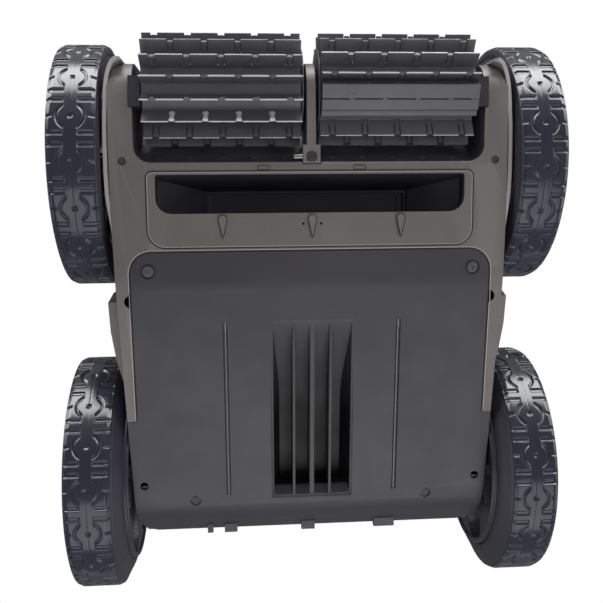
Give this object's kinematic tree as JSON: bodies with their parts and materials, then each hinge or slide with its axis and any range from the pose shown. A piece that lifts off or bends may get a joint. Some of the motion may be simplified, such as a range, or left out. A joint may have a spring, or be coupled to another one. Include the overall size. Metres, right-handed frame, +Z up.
{
  "type": "robotic pool cleaner chassis",
  "caption": "Low wheeled crawler body with big treaded wheels, paired finned brush rollers, an underside suction mouth, a screwed belly hatch, a lidded filter bay and a carry handle.",
  "frame": {"origin": "on the floor under the middle of the robot's box", "axes": "+Z up, front (brush rollers) towards -Y, +X completes the right-handed frame; the wheels stand on z = 0"},
  "size_m": [0.4164, 0.472, 0.248],
  "materials": {
    "frame": "satin, faint metallic grey",
    "hatch": "fine satin charcoal",
    "tyre": "glossy moulded rubber",
    "rim": "satin",
    "brush_core": "matte",
    "brush_rubber": "matte soft rubber",
    "steel": "brushed",
    "gear": "natural acetal",
    "lid": "smoked clear plastic",
    "board": "coated board",
    "belt": "matte",
    "basket": "satin",
    "inner": "matte black"
  },
  "bodies": {
    "chassis": {"lower_frame": "frame", "suction_panel": "frame", "bottom_hatch": "hatch", "underside_screws": "steel", "brush_arm": "frame", "roller_bearing_left": "inner", "roller_bearing_right": "inner", "wheel_arch_left": "frame", "wheel_arch_right": "frame", "side_skirt_left": "frame", "side_skirt_right": "frame", "side_plate_left": "inner", "side_plate_right": "inner", "upper_shell": "frame", "rear_deck": "frame", "canister_tub": "inner", "intake_duct": "inner", "motor_block": "inner", "motor_block_cover": "inner", "pump_motor": "steel", "traction_motors": "steel", "control_board": "board", "pump_duct": "inner", "outlet_grille": "hatch", "carry_handle": "hatch", "cable_gland": "hatch", "lid_hinge_pin": "steel", "axle_bushes": "inner", "drive_belt_left": "belt", "drive_belt_right": "belt", "filter_basket": "basket", "filter_grip": "hatch"},
    "wheel_front_left": {"tyre_front_left": "tyre", "rim_front_left": "rim", "hub_cap_front_left": "frame", "axle_front_left": "steel"},
    "wheel_rear_left": {"tyre_rear_left": "tyre", "rim_rear_left": "rim", "hub_cap_rear_left": "frame", "axle_rear_left": "steel"},
    "roller_left": {"roller_core_left": "brush_core", "roller_fins_left": "brush_rubber"},
    "idler_left": {"idler_gear_left": "gear"},
    "pinion_left": {"motor_pinion_left": "gear"},
    "wheel_front_right": {"tyre_front_right": "tyre", "rim_front_right": "rim", "hub_cap_front_right": "frame", "axle_front_right": "steel"},
    "wheel_rear_right": {"tyre_rear_right": "tyre", "rim_rear_right": "rim", "hub_cap_rear_right": "frame", "axle_rear_right": "steel"},
    "roller_right": {"roller_core_right": "brush_core", "roller_fins_right": "brush_rubber"},
    "idler_right": {"idler_gear_right": "gear"},
    "pinion_right": {"motor_pinion_right": "gear"},
    "impeller": {"impeller": "brush_core"},
    "lid": {"lid": "lid"},
    "lid_latch": {"lid_latch": "hatch"},
    "inlet_flap": {"inlet_flap": "inner"}
  },
  "joints": [
    {"name": "wheel_rear_left_spin", "type": "hinge", "parent": "chassis", "child": "wheel_rear_left", "pos_m": [-0.181, 0.13505, 0.101], "axis": [1, 0, 0], "continuous": true},
    {"name": "wheel_front_left_spin", "type": "hinge", "parent": "chassis", "child": "wheel_front_left", "pos_m": [-0.181, -0.13395, 0.101], "axis": [1, 0, 0], "continuous": true},
    {"name": "roller_left_spin", "type": "hinge", "parent": "chassis", "child": "roller_left", "pos_m": [-0.07, -0.19105, 0.0483], "axis": [1, 0, 0], "continuous": true},
    {"name": "idler_left_spin", "type": "hinge", "parent": "chassis", "child": "idler_left", "pos_m": [-0.1416, -0.17586, 0.07759], "axis": [1, 0, 0], "continuous": true},
    {"name": "pinion_left_spin", "type": "hinge", "parent": "chassis", "child": "pinion_left", "pos_m": [-0.1416, 0.10747, 0.07342], "axis": [1, 0, 0], "continuous": true},
    {"name": "wheel_rear_right_spin", "type": "hinge", "parent": "chassis", "child": "wheel_rear_right", "pos_m": [0.181, 0.13505, 0.101], "axis": [1, 0, 0], "continuous": true},
    {"name": "wheel_front_right_spin", "type": "hinge", "parent": "chassis", "child": "wheel_front_right", "pos_m": [0.181, -0.13395, 0.101], "axis": [1, 0, 0], "continuous": true},
    {"name": "roller_right_spin", "type": "hinge", "parent": "chassis", "child": "roller_right", "pos_m": [0.07, -0.19105, 0.0483], "axis": [1, 0, 0], "continuous": true},
    {"name": "idler_right_spin", "type": "hinge", "parent": "chassis", "child": "idler_right", "pos_m": [0.1416, -0.17586, 0.07759], "axis": [1, 0, 0], "continuous": true},
    {"name": "pinion_right_spin", "type": "hinge", "parent": "chassis", "child": "pinion_right", "pos_m": [0.1416, 0.10747, 0.07342], "axis": [1, 0, 0], "continuous": true},
    {"name": "impeller_spin", "type": "hinge", "parent": "chassis", "child": "impeller", "pos_m": [0, 0.12555, 0.169], "axis": [0, 0, 1], "continuous": true},
    {"name": "lid_hinge", "type": "hinge", "parent": "chassis", "child": "lid", "pos_m": [0, 0.06555, 0.2315], "axis": [-1, 0, 0], "range_deg": [0, 100]},
    {"name": "latch_press", "type": "slide", "parent": "chassis", "child": "lid_latch", "axis": [0, 0, -1], "range_m": [0, 0.003], "stiffness_N_per_m": 500, "springref_m": -0.001},
    {"name": "inlet_flap_hinge", "type": "hinge", "parent": "chassis", "child": "inlet_flap", "pos_m": [0, -0.09145, 0.087], "axis": [-1, 0, 0], "range_deg": [0, 70]}
  ],
  "couplings": [
    {"joint": "wheel_front_left_spin", "follows": "wheel_rear_left_spin", "ratio": 1},
    {"joint": "idler_left_spin", "follows": "wheel_rear_left_spin", "ratio": -1.2857},
    {"joint": "roller_left_spin", "follows": "wheel_rear_left_spin", "ratio": 2.25},
    {"joint": "pinion_left_spin", "follows": "wheel_rear_left_spin", "ratio": -3.3333},
    {"joint": "wheel_front_right_spin", "follows": "wheel_rear_right_spin", "ratio": 1},
    {"joint": "idler_right_spin", "follows": "wheel_rear_right_spin", "ratio": -1.2857},
    {"joint": "roller_right_spin", "follows": "wheel_rear_right_spin", "ratio": 2.25},
    {"joint": "pinion_right_spin", "follows": "wheel_rear_right_spin", "ratio": -3.3333}
  ]
}
